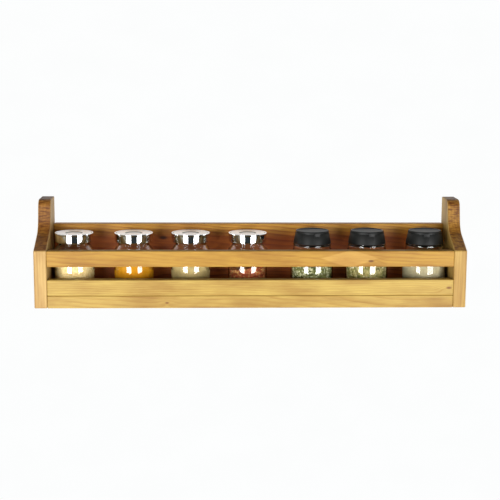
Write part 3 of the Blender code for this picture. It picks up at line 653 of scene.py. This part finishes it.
# Outside of each jar from the rim of its mouth down to the middle of its base, then its inside from the
# middle of the floor up to the rim: (radius, height, fillet). The side walls are 1.4 to 1.6 mm thick, which
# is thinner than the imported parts' 2.2 mm, so that the spice looks wider.
CHROME_JAR_OUTSIDE = ((21.2, 77.5, 0.7), (21.2, 65.9, 1.4), (28.3, 57.6, 2.4), (28.3, 52.0, 0.0),
                      (27.5, 9.0, 0.0), (27.5, 0.0, 8.5), (21.0, 0.0, 1.5), (19.0, 1.2, 1.5), (0.0, 1.2, 0.0))
FLIP_JAR_OUTSIDE = ((20.5, 78.7, 0.7), (20.5, 66.4, 0.3), (26.8, 66.4, 1.6), (27.1, 59.0, 4.0),
                    (30.2, 48.0, 6.0), (30.4, 30.0, 0.0), (30.4, 7.0, 0.0), (30.4, 0.0, 6.8),
                    (22.5, 0.0, 1.5),
                    (20.5, 1.2, 1.5), (0.0, 1.2, 0.0))
CHROME_JAR_INSIDE = ((0.0, 4.2, 0.0), (25.5, 4.2, 7.0), (26.0, 12.0, 2.0), (26.7, 55.6, 3.0),
                     (19.2, 64.0, 1.6),
                     (19.0, 77.5, 0.7))
FLIP_JAR_INSIDE = ((0.0, 4.2, 0.0), (28.6, 4.2, 6.0), (29.0, 30.0, 3.0), (28.7, 47.0, 6.0), (24.9, 58.0, 4.0),
                   (24.6, 64.1, 2.0), (18.3, 64.1, 0.6), (18.3, 78.7, 0.7))


def jar_place(number):
    """The middle of a jar's base."""
    low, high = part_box(f"jar_{number}_glass")
    return Vector(((low.x + high.x) / 2, (low.y + high.y) / 2, low.z))


for number in CHROME_JARS + FLIP_JARS:
    inside, outside = ((CHROME_JAR_INSIDE, CHROME_JAR_OUTSIDE) if number in CHROME_JARS
                       else (FLIP_JAR_INSIDE, FLIP_JAR_OUTSIDE))
    profile = rounded(inside + outside, 6)
    jar = turned(f"jar_{number}_pressed_glass", profile, jar_place(number), glass)
    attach(jar, f"jar_{number}")
    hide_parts(f"jar_{number}_glass")

# Metal lids
# Straight screw lids pressed from thin steel and chrome plated: a fine bead round the top, a sunk top with a
# pressed disc in its middle, and a lower edge that curls in over the jar's shoulder.

SATIN_ROUGHNESS = 0.26
LID_REACH_MM = 27.3

# Chrome plate is a bluish mirror with the faintest wipe marks
chrome, chrome_output = new_material("mirror_chrome_plate")
chrome_place = add_node(chrome.node_tree, "ShaderNodeTexCoord").outputs["Object"]
chrome_wipe = add_node(chrome.node_tree, "ShaderNodeTexNoise",
                       {"Vector": chrome_place, "Scale": 350.0, "Detail": 4.0})
chrome_rough = add_node(chrome.node_tree, "ShaderNodeMapRange", {"Value": chrome_wipe.outputs["Fac"],
                        "From Min": 0.35, "From Max": 0.75, "To Min": 0.03, "To Max": 0.10}).outputs[0]
# The top is satin, not mirror, so it takes up the light round it as one pale disc
chrome_up = add_node(chrome.node_tree, "ShaderNodeNewGeometry").outputs["Normal"]
chrome_up = add_node(chrome.node_tree, "ShaderNodeSeparateXYZ", {0: chrome_up}).outputs[2]
chrome_satin = add_node(chrome.node_tree, "ShaderNodeMapRange", {"Value": chrome_up, "From Min": 0.85,
                        "From Max": 0.98, "To Min": 0.0, "To Max": SATIN_ROUGHNESS}).outputs[0]
chrome_rough = add_node(chrome.node_tree, "ShaderNodeMath", {0: chrome_rough, 1: chrome_satin}).outputs[0]
# Painted reflection: a grey tone lies in the two creases of the top, at the pressed disc and at the bead, in
# place of the dark that the creases mirror
chrome_radius = add_node(chrome.node_tree, "ShaderNodeAttribute",
                         attribute_name="from_axis_mm").outputs["Fac"]
chrome_radius = add_node(chrome.node_tree, "ShaderNodeMath", {0: chrome_radius, 1: 1.0 / LID_REACH_MM},
                         operation='MULTIPLY').outputs[0]
chrome_crease_painted_reflection = ramp(chrome.node_tree, chrome_radius, ((0.34, "#FFFFFF"), (0.385, "#7C7A74"),
                     (0.43, "#7C7A74"),
                     (0.47, "#FFFFFF"), (0.86, "#FFFFFF"), (0.90, "#A8A69F"), (0.925, "#FFFFFF")))
chrome_flat = add_node(chrome.node_tree, "ShaderNodeMapRange", {"Value": chrome_up, "From Min": 0.2,
                       "From Max": 0.6}).outputs[0]
chrome_tone = add_node(chrome.node_tree, "ShaderNodeMix", {0: chrome_flat, 6: hex_colour("#E9EBEC"),
                       7: chrome_crease_painted_reflection}, data_type='RGBA').outputs[2]
chrome_shader = add_node(chrome.node_tree, "ShaderNodeBsdfPrincipled", {"Base Color": chrome_tone,
                         "Metallic": 1.0, "Roughness": chrome_rough})
chrome.node_tree.links.new(chrome_shader.outputs[0], chrome_output.inputs["Surface"])

LID_PROFILE = ((0.0, 80.1, 0.0), (10.9, 80.1, 0.3), (11.9, 81.0, 0.3), (24.6, 81.0, 0.4), (25.4, 81.5, 0.4),
               (LID_REACH_MM, 81.5, 0.7), (LID_REACH_MM, 79.7, 0.4), (26.7, 79.2, 0.4), (26.6, 69.3, 0.6),
               (25.7, 68.2, 0.6),
               (22.0, 68.2, 0.2), (21.75, 69.0, 0.2), (21.75, 79.0, 0.0), (0.0, 79.0, 0.0))

# Foam seals are die-cut discs of closed-cell white foam, soft and matt
foam, foam_output = new_material("white_seal_foam")
foam_place = add_node(foam.node_tree, "ShaderNodeTexCoord").outputs["Object"]
foam_cells = add_node(foam.node_tree, "ShaderNodeTexVoronoi", {"Vector": foam_place, "Scale": 1600.0})
foam_tone = ramp(foam.node_tree, foam_cells.outputs["Distance"], ((0.0, "#F1F0EA"), (0.8, "#DAD8CF")))
foam_bump = add_node(foam.node_tree, "ShaderNodeBump", {"Height": foam_cells.outputs["Distance"],
                     "Strength": 0.4,
                     "Distance": 0.0002}).outputs[0]
foam_shader = add_node(foam.node_tree, "ShaderNodeBsdfPrincipled",
                       {"Base Color": foam_tone, "Roughness": 0.85,
                       "Normal": foam_bump})
foam.node_tree.links.new(foam_shader.outputs[0], foam_output.inputs["Surface"])

for number in CHROME_JARS:
    lid = turned(f"jar_{number}_mirror_lid", rounded(LID_PROFILE), jar_place(number), chrome, 128)
    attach(lid, f"jar_{number}_lid")
    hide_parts(f"jar_{number}_chrome_lid")
    finish_node(f"jar_{number}_lid_seal", foam)

# Black caps
# Snap-on caps moulded in black polypropylene. A shallow lid is hinged at the rear along a straight line and
# opens by a thumb tab at the front, off a deck with six shaker holes.

# Polypropylene from an eroded mould is near black with a soft sheen and a fine, even grain
black, black_output = new_material("black_moulded_polypropylene")
black_place = add_node(black.node_tree, "ShaderNodeTexCoord").outputs["Object"]
black_grain = add_node(black.node_tree, "ShaderNodeTexNoise", {"Vector": black_place, "Scale": 2200.0,
                       "Detail": 2.0})
black_tone = ramp(black.node_tree, black_grain.outputs["Fac"], ((0.3, "#080A09"), (0.7, "#0E100F")))
black_bump = add_node(black.node_tree, "ShaderNodeBump", {"Height": black_grain.outputs["Fac"],
                      "Strength": 0.2,
                      "Distance": 0.0001}).outputs[0]
black_shader = add_node(black.node_tree, "ShaderNodeBsdfPrincipled",
                        {"Base Color": black_tone, "Roughness": 0.5,
                        "IOR": 1.49, "Specular IOR Level": 0.3, "Normal": black_bump})
black.node_tree.links.new(black_shader.outputs[0], black_output.inputs["Surface"])

CAP_TURNS = {5: 11.0, 6: 8.0, 7: -4.0}
FIT_MM = 0.3
CAP_BORE_MM = 21.0
DECK_THICKNESS_MM = 2.0
DRILL_LENGTH_MM = 8.0
CAP_FOOT_MM = 66.6
CAP_TOP_MM = 84.9
DECK_TOP_MM = 81.1
FLIP_FOOT_MM = 81.4
CAP_FOOT_RADIUS_MM = 26.9
CAP_TOP_RADIUS_MM = 23.1
HINGE_CHORD_MM = 16.0
TAB_WIDTH_MM = 8.0
TAB_DROP_MM = 3.5
TAB_OUT_MM = 2.9
TAB_RISE_MM = 1.75
FLIP_WALL_MM = 1.7
FLIP_DISH_MM = 84.0
FLIP_UNDER_MM = 82.9
SHAKER_HOLES = 6
SHAKER_RING_MM = 7.5
SHAKER_RADIUS_MM = 1.5


def cap_radius_mm(height_mm):
    """Outer radius of the tapered cap at a height."""
    share = (CAP_TOP_MM - height_mm) / (CAP_TOP_MM - CAP_FOOT_MM)
    return CAP_TOP_RADIUS_MM + share * (CAP_FOOT_RADIUS_MM - CAP_TOP_RADIUS_MM)


def block(size_mm, middle_mm, spot):
    """A box in a cap's own axes, to cut with or to join on."""
    shape = bmesh.new()
    size = Matrix.Diagonal((*(side * MM for side in size_mm), 1.0))
    bmesh.ops.create_cube(shape, size=1.0,
                          matrix=spot @ Matrix.Translation([side * MM for side in middle_mm]) @ size)
    return mesh_piece("block", shape, black)


def carved(name, piece, tools, edge_mm):
    """Cut or join tools of (object, operation), then soften every edge, as one plain mesh."""
    for tool, operation in tools:
        modifier = piece.modifiers.new("carve", 'BOOLEAN')
        modifier.operation = operation
        modifier.object = tool
        modifier.solver = 'EXACT'
    soften = piece.modifiers.new("soft_edges", 'BEVEL')
    soften.width = edge_mm * MM
    soften.segments = 2
    soften.limit_method = 'ANGLE'
    soften.angle_limit = math.radians(40)
    bpy.context.view_layer.update()
    mesh = bpy.data.meshes.new_from_object(piece.evaluated_get(bpy.context.evaluated_depsgraph_get()))
    result = bpy.data.objects.new(name, mesh)
    mesh.name = name
    mesh.shade_smooth()
    mesh.set_sharp_from_angle(angle=SHARP_ANGLE)
    bpy.context.scene.collection.objects.link(result)
    for old in [piece] + [tool for tool, _ in tools]:
        bpy.data.objects.remove(old)
    return result


# The boxes that cut the caps reach well past them
REACH_MM = 60.0
for number in FLIP_JARS:
    place = jar_place(number)
    spot = Matrix.Translation(place) @ Matrix.Rotation(math.radians(CAP_TURNS[number]), 4, 'Z')
    foot_wide = cap_radius_mm(CAP_FOOT_MM)
    cap_profile = rounded((
        (0.0, CAP_TOP_MM, 0.0), (CAP_TOP_RADIUS_MM, CAP_TOP_MM, 0.5), (foot_wide, CAP_FOOT_MM, 0.5),
        (CAP_BORE_MM, CAP_FOOT_MM, 0.0), (CAP_BORE_MM, DECK_TOP_MM - DECK_THICKNESS_MM, 0.0),
        (0.0, DECK_TOP_MM - DECK_THICKNESS_MM, 0.0)))
    cap = turned("cap_blank", cap_profile, place, black)
    front_mm = -cap_radius_mm(FLIP_FOOT_MM) + FLIP_WALL_MM
    tab_low_mm = FLIP_FOOT_MM - TAB_DROP_MM
    tools = [
        (block((REACH_MM, REACH_MM, REACH_MM), (0.0, HINGE_CHORD_MM - REACH_MM / 2,
        DECK_TOP_MM + REACH_MM / 2),
               spot), 'DIFFERENCE'),
        (block((TAB_WIDTH_MM + 2 * FIT_MM, REACH_MM, REACH_MM),
               (0.0, front_mm + FIT_MM - REACH_MM / 2, tab_low_mm - FIT_MM + REACH_MM / 2), spot),
               'DIFFERENCE')]
    for hole in range(SHAKER_HOLES):
        bearing = math.tau * hole / SHAKER_HOLES
        drill = bmesh.new()
        drill_spot = Matrix.Translation((SHAKER_RING_MM * MM * math.cos(bearing),
                                         SHAKER_RING_MM * MM * math.sin(bearing), DECK_TOP_MM * MM))
        bmesh.ops.create_cone(drill, cap_ends=True, segments=20, radius1=SHAKER_RADIUS_MM * MM,
                              radius2=SHAKER_RADIUS_MM * MM, depth=DRILL_LENGTH_MM * MM,
                              matrix=spot @ drill_spot)
        tools.append((mesh_piece("drill", drill, black), 'DIFFERENCE'))
    cap = carved(f"jar_{number}_moulded_cap", cap, tools, 0.2)
    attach(cap, f"jar_{number}_closure")
    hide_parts(f"jar_{number}_cap")

    flip_foot = cap_radius_mm(FLIP_FOOT_MM)
    flip_profile = rounded((
        (0.0, FLIP_DISH_MM, 0.0), (20.2, FLIP_DISH_MM, 0.5), (21.2, CAP_TOP_MM, 0.4),
        (CAP_TOP_RADIUS_MM, CAP_TOP_MM, 0.6), (flip_foot, FLIP_FOOT_MM, 0.0),
        (flip_foot - FLIP_WALL_MM, FLIP_FOOT_MM, 0.0), (flip_foot - FLIP_WALL_MM, FLIP_UNDER_MM, 0.0),
        (0.0, FLIP_UNDER_MM, 0.0)))
    flip = turned("flip_blank", flip_profile, place, black)
    tab_high_mm = TAB_DROP_MM + TAB_RISE_MM
    tools = [
        (block((REACH_MM, REACH_MM, REACH_MM), (0.0, HINGE_CHORD_MM - FIT_MM + REACH_MM / 2, CAP_TOP_MM),
        spot),
         'DIFFERENCE'),
        (block((TAB_WIDTH_MM, TAB_OUT_MM, tab_high_mm),
               (0.0, front_mm - TAB_OUT_MM / 2, tab_low_mm + tab_high_mm / 2), spot), 'UNION')]
    flip = carved(f"jar_{number}_moulded_flip_lid", flip, tools, 0.25)
    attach(flip, f"jar_{number}_flip")
    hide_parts(f"jar_{number}_flip_lid")

# Spices
# Each jar holds another dried spice, poured in and settled: granules, powders, flakes with seeds, and rubbed
# leaves. A heap fills the jar, and loose grains cover its side and top.


def spice_finish(name, colours, grain_mm, roughness=0.9, bump_mm=0.3):
    """Dry ground spice or leaf: matt, with colours from grain to grain and fine hollows between grains."""
    material, output = new_material(name)
    tree = material.node_tree
    place = add_node(tree, "ShaderNodeTexCoord").outputs["Object"]
    cells = add_node(tree, "ShaderNodeTexVoronoi", {"Vector": place, "Scale": 1.0 / (grain_mm * MM)})
    shade = add_node(tree, "ShaderNodeAttribute", attribute_name="shade",
                     attribute_type='GEOMETRY').outputs["Fac"]
    cell_shade = add_node(tree, "ShaderNodeSeparateColor", {0: cells.outputs["Color"]}).outputs[0]
    mixed = add_node(tree, "ShaderNodeMath", {0: shade, 1: cell_shade}, operation='ADD').outputs[0]
    mixed = add_node(tree, "ShaderNodeMath", {0: mixed}, operation='FRACT').outputs[0]
    share = 1.0 / len(colours)
    colour = ramp(tree, mixed, [(index * share, code) for index, code in enumerate(colours)], 'CONSTANT')
    bump = add_node(tree, "ShaderNodeBump", {"Height": cells.outputs["Distance"], "Strength": 0.5,
                    "Distance": bump_mm * MM}, invert=True).outputs[0]
    shader = add_node(tree, "ShaderNodeBsdfPrincipled", {"Base Color": colour, "Roughness": roughness,
                      "Normal": bump, "Specular IOR Level": 0.2})
    tree.links.new(shader.outputs[0], output.inputs["Surface"])
    return material


def grain_tree():
    """Loose grains over a heap: low-faced lumps or flakes, each with its own turn, size and shade."""
    tree = bpy.data.node_groups.new("loose_grains", 'GeometryNodeTree')
    tree.interface.new_socket("Geometry", in_out='INPUT', socket_type='NodeSocketGeometry')
    for label, kind in (("Density", 'Float'), ("Grain Size", 'Vector'), ("Tilt", 'Float'), ("Seed", 'Int'),
                        ("Finish", 'Material')):
        tree.interface.new_socket(label, in_out='INPUT', socket_type=f'NodeSocket{kind}')
    tree.interface.new_socket("Geometry", in_out='OUTPUT', socket_type='NodeSocketGeometry')
    given = add_node(tree, "NodeGroupInput").outputs
    spots = add_node(tree, "GeometryNodeDistributePointsOnFaces", {"Mesh": given["Geometry"],
                     "Density": given["Density"], "Seed": given["Seed"]}, distribute_method='RANDOM')
    low = add_node(tree, "ShaderNodeMath", {0: given["Tilt"], 1: -1.0}, operation='MULTIPLY').outputs[0]
    lowest = add_node(tree, "ShaderNodeCombineXYZ", {0: low, 1: low, 2: -math.pi}).outputs[0]
    highest = add_node(tree, "ShaderNodeCombineXYZ", {0: given["Tilt"], 1: given["Tilt"],
                       2: math.pi}).outputs[0]
    turn = add_node(tree, "FunctionNodeRandomValue", {0: lowest, 1: highest, "Seed": given["Seed"]},
                    data_type='FLOAT_VECTOR').outputs[0]
    facing = add_node(tree, "FunctionNodeRotateRotation", {"Rotation": spots.outputs["Rotation"],
                      "Rotate By": turn},
                      rotation_space='LOCAL').outputs[0]
    size = add_node(tree, "FunctionNodeRandomValue", {2: 0.55, 3: 1.15, "Seed": given["Seed"]},
                    data_type='FLOAT').outputs[1]
    scaled = add_node(tree, "ShaderNodeVectorMath", {0: given["Grain Size"], "Scale": size},
                      operation='SCALE').outputs[0]
    lump = add_node(tree, "GeometryNodeMeshIcoSphere", {"Radius": 0.5, "Subdivisions": 1}).outputs["Mesh"]
    grains = add_node(tree, "GeometryNodeInstanceOnPoints", {"Points": spots.outputs["Points"],
                      "Instance": lump,
                      "Rotation": facing, "Scale": scaled}).outputs[0]
    tone = add_node(tree, "FunctionNodeRandomValue", {2: 0.0, 3: 1.0, "Seed": given["Seed"]},
                    data_type='FLOAT').outputs[1]
    shaded = add_node(tree, "GeometryNodeStoreNamedAttribute",
                      {"Geometry": grains, "Name": "shade", "Value": tone},
                      data_type='FLOAT', domain='INSTANCE').outputs[0]
    joined = add_node(tree, "GeometryNodeJoinGeometry")
    for part in (given["Geometry"], shaded):
        tree.links.new(part, joined.inputs[0])
    solid = add_node(tree, "GeometryNodeRealizeInstances", {0: joined.outputs[0]}).outputs[0]
    finished = add_node(tree, "GeometryNodeSetMaterial", {"Geometry": solid,
                        "Material": given["Finish"]}).outputs[0]
    add_node(tree, "NodeGroupOutput", {0: finished})
    return tree


GRAINS = grain_tree()
HEAP_RINGS = 12
HEAP_STEPS = 64
HEAP_BEND_MM = 4.0
TOP_REACH_MM = 0.1
HUMPS_PER_M = 120
CRUMBS_PER_M = 300
CRUMB_SHARE = 0.6


def heap(name, number, top_mm, slope_mm, rough_mm, inset_mm, seed):
    """A jar's filling: it follows the glass inside, and its top slopes to one side and is uneven."""
    inside = CHROME_JAR_INSIDE if number in CHROME_JARS else FLIP_JAR_INSIDE
    wall = [(radius, height) for radius, height in rounded(inside, 5)]
    inset = inset_mm * MM
    below = [(max(radius - inset, 0.0), height + inset) for radius,
             height in wall if height < (top_mm - HEAP_BEND_MM) * MM]
    widest = below[-1][0]
    top = [(widest, top_mm * MM)]
    for ring in range(1, HEAP_RINGS + 1):
        top.append((widest * (1 - ring / HEAP_RINGS), top_mm * MM))
    piece = turned(name, below + top, Vector((0.0, 0.0, 0.0)), black, HEAP_STEPS)
    for point in piece.data.vertices:
        if point.co.z > (top_mm - TOP_REACH_MM) * MM:
            bumps = (noise.noise(point.co * HUMPS_PER_M + Vector((seed, 0, 0)))
                     + CRUMB_SHARE * noise.noise(point.co * CRUMBS_PER_M))
            point.co.z += (slope_mm * point.co.x / widest + rough_mm * bumps) * MM
    piece.data.transform(Matrix.Translation(jar_place(number)))
    piece.data.update()
    return piece


SPICES = (
    # jar, name, top above the base, slope, unevenness, inset, grain size, density per m2, tilt, finish
    (1, "garlic_granules", 43.0, -1.5, 1.2, -0.25, (1.1, 0.9, 0.8), 750000, 3.1,
     spice_finish("garlic_granules", ("#E4CF96", "#D8BE80", "#F0E0B2", "#BFA064"), 0.9)),
    (2, "turmeric_powder", 40.5, 1.0, 1.0, -0.25, (0.6, 0.6, 0.5), 300000, 3.1,
     spice_finish("turmeric_powder", ("#BE830D", "#B67905", "#C18911", "#AF7203"), 0.5)),
    (3, "ginger_powder", 40.0, -0.5, 0.8, -0.25, (0.6, 0.6, 0.5), 250000, 3.1,
     spice_finish("ginger_powder", ("#A79463", "#A28E5D", "#AD9A69", "#9A8655"), 0.5)),
    (4, "chilli_flakes", 33.0, 4.5, 1.6, 0.2, (2.4, 1.6, 0.35), 420000, 0.5,
     spice_finish("chilli_flakes", ("#8A3418", "#74220A", "#98481E", "#5C1606", "#B48C50"), 2.6, 0.6)),
    (5, "dried_basil", 35.0, -1.0, 2.0, 0.6, (2.8, 1.5, 0.25), 380000, 0.7,
     spice_finish("dried_basil", ("#5A5C2E", "#7E7E4A", "#383D1C", "#C4C09A", "#6A683A", "#46541F"), 2.4,
     0.75)),
    (6, "dried_oregano", 37.0, 1.0, 1.6, 0.6, (2.2, 1.3, 0.25), 480000, 0.7,
     spice_finish("dried_oregano", ("#7C763F", "#A0955E", "#54502A", "#CABB8C", "#8E7E44", "#64662E"), 2.0,
     0.75)),
    (7, "white_pepper", 44.0, 0.5, 0.8, -0.25, (0.6, 0.6, 0.5), 250000, 3.1,
     spice_finish("white_pepper", ("#ADA484", "#A69B7C", "#B5AD8F", "#938768"), 0.55)),
)
for number, label, top_mm, slope_mm, rough_mm, inset_mm, grain_mm, density, tilt, finish in SPICES:
    base = heap("heap", number, top_mm, slope_mm, rough_mm, inset_mm, 10.0 * number)
    spice = grown(f"jar_{number}_{label}", base, GRAINS, {
        "Density": float(density), "Grain Size": [side * MM for side in grain_mm], "Tilt": tilt,
        "Seed": number,
        "Finish": finish})
    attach(spice, f"jar_{number}")
    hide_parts(f"jar_{number}_spice")
